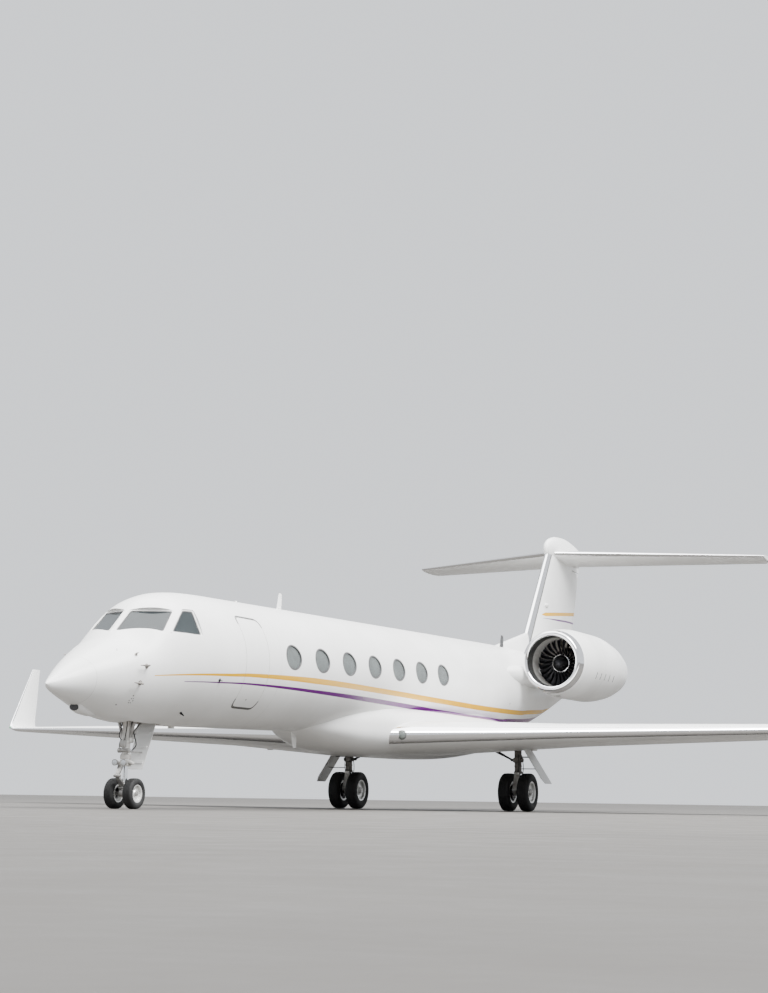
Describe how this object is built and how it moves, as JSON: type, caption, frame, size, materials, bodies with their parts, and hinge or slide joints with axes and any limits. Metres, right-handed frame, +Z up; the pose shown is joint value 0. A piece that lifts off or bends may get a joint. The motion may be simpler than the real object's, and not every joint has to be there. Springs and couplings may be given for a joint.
{
  "type": "twin-engine business jet, parked on its landing gear",
  "caption": "Long-range business jet with swept wings, winglets, a T-tail, rear fuselage engine pods and retractable landing gear, standing on its wheels.",
  "frame": {"origin": "on the ground, midway along the length and on the centre plane", "axes": "-Y towards the nose, +X to the port side, +Z up"},
  "size_m": [28.4924, 29.39, 7.7292],
  "materials": {
    "white_paint": "gloss",
    "yellow_paint": "gloss",
    "purple_paint": "gloss",
    "polished_metal": "polished",
    "gear_metal": "satin",
    "chromed_steel": "polished",
    "dark_metal": "satin",
    "engine_metal": "satin",
    "window_glass": "clear",
    "window_shade": "matte",
    "tyre_rubber": "matte",
    "black_rubber": "matte",
    "seat_leather": "matte",
    "lamp_glass": "clear"
  },
  "bodies": {
    "airframe": {"radome": "white_paint", "forward_fuselage": "white_paint", "centre_fuselage": "white_paint", "aft_fuselage": "white_paint", "tail_cone": "white_paint", "wing_body_fairing": "white_paint", "windshield_left": "window_glass", "windshield_right": "window_glass", "side_window_left": "window_glass", "side_window_right": "window_glass", "cabin_windows_left": "window_shade", "cabin_windows_right": "window_shade", "wing_left": "white_paint", "wing_right": "white_paint", "flap_left": "white_paint", "flap_right": "white_paint", "winglet_left": "white_paint", "winglet_right": "white_paint", "fin": "white_paint", "tailplane": "white_paint", "nacelle_left": "white_paint", "nacelle_right": "white_paint", "engine_core_left": "engine_metal", "engine_core_right": "engine_metal", "pylon_left": "white_paint", "pylon_right": "white_paint", "nose_leg": "gear_metal", "nose_gear_door": "white_paint", "main_leg_left": "gear_metal", "main_leg_right": "gear_metal", "main_brace_left": "dark_metal", "main_brace_right": "dark_metal", "main_gear_door_left": "white_paint", "main_gear_door_right": "white_paint", "pilot_seat_left": "seat_leather", "pilot_seat_right": "seat_leather", "instrument_panel": "dark_metal"},
    "nose_strut": {"nose_fork": "gear_metal"},
    "nose_wheels": {"nose_hubs": "gear_metal", "nose_tyre_left": "tyre_rubber", "nose_tyre_right": "tyre_rubber"},
    "main_wheels_left": {"main_left_hubs": "gear_metal", "main_tyre_left_outer": "tyre_rubber", "main_tyre_left_inner": "tyre_rubber"},
    "main_wheels_right": {"main_right_hubs": "gear_metal", "main_tyre_right_outer": "tyre_rubber", "main_tyre_right_inner": "tyre_rubber"},
    "fan_rotor_left": {"fan_left": "dark_metal"},
    "fan_rotor_right": {"fan_right": "dark_metal"},
    "door": {"entry_door": "white_paint"},
    "rudder_panel": {"rudder": "white_paint"},
    "elevator_panel_left": {"elevator_left": "white_paint"},
    "elevator_panel_right": {"elevator_right": "white_paint"},
    "aileron_panel_left": {"aileron_left": "white_paint"},
    "aileron_panel_right": {"aileron_right": "white_paint"}
  },
  "joints": [
    {"name": "nose_steering", "type": "hinge", "parent": "airframe", "child": "nose_strut", "pos_m": [0, -12.195, 0.8], "axis": [0, 0, 1], "range_deg": [-80, 80]},
    {"name": "nose_wheel_spin", "type": "hinge", "parent": "nose_strut", "child": "nose_wheels", "pos_m": [0, -12.195, 0.264], "axis": [1, 0, 0], "continuous": true},
    {"name": "main_wheel_spin_left", "type": "hinge", "parent": "airframe", "child": "main_wheels_left", "pos_m": [2.185, 1.515, 0.44], "axis": [1, 0, 0], "continuous": true},
    {"name": "main_wheel_spin_right", "type": "hinge", "parent": "airframe", "child": "main_wheels_right", "pos_m": [-2.185, 1.515, 0.44], "axis": [1, 0, 0], "continuous": true},
    {"name": "fan_spin_left", "type": "hinge", "parent": "airframe", "child": "fan_rotor_left", "pos_m": [2.014, 5.145, 3.7], "axis": [0, 1, 0], "continuous": true},
    {"name": "fan_spin_right", "type": "hinge", "parent": "airframe", "child": "fan_rotor_right", "pos_m": [-2.014, 5.145, 3.7], "axis": [0, 1, 0], "continuous": true},
    {"name": "entry_door_swing", "type": "hinge", "parent": "airframe", "child": "door", "pos_m": [0.87, -9.645, 1.839], "axis": [0, 1, 0], "range_deg": [0, 135]},
    {"name": "rudder_turn", "type": "hinge", "parent": "airframe", "child": "rudder_panel", "pos_m": [0, 10.53805, 4.42], "axis": [0, 0.4067, 0.9136], "range_deg": [-22, 22]},
    {"name": "elevator_turn_left", "type": "hinge", "parent": "airframe", "child": "elevator_panel_left", "pos_m": [0.38, 11.60982, 7.09868], "axis": [0.8808, 0.4724, 0.0317], "range_deg": [-13, 24]},
    {"name": "elevator_turn_right", "type": "hinge", "parent": "airframe", "child": "elevator_panel_right", "pos_m": [-0.38, 11.60982, 7.09868], "axis": [0.8808, -0.4724, -0.0317], "range_deg": [-13, 24]},
    {"name": "aileron_turn_left", "type": "hinge", "parent": "airframe", "child": "aileron_panel_left", "pos_m": [9.6, 3.56127, 1.88074], "axis": [0.9418, 0.3344, 0.034], "range_deg": [-11, 11]},
    {"name": "aileron_turn_right", "type": "hinge", "parent": "airframe", "child": "aileron_panel_right", "pos_m": [-9.6, 3.56127, 1.88074], "axis": [0.9418, -0.3344, -0.034], "range_deg": [-11, 11]}
  ],
  "couplings": [
    {"joint": "elevator_turn_right", "follows": "elevator_turn_left", "ratio": 1},
    {"joint": "aileron_turn_right", "follows": "aileron_turn_left", "ratio": -1}
  ]
}
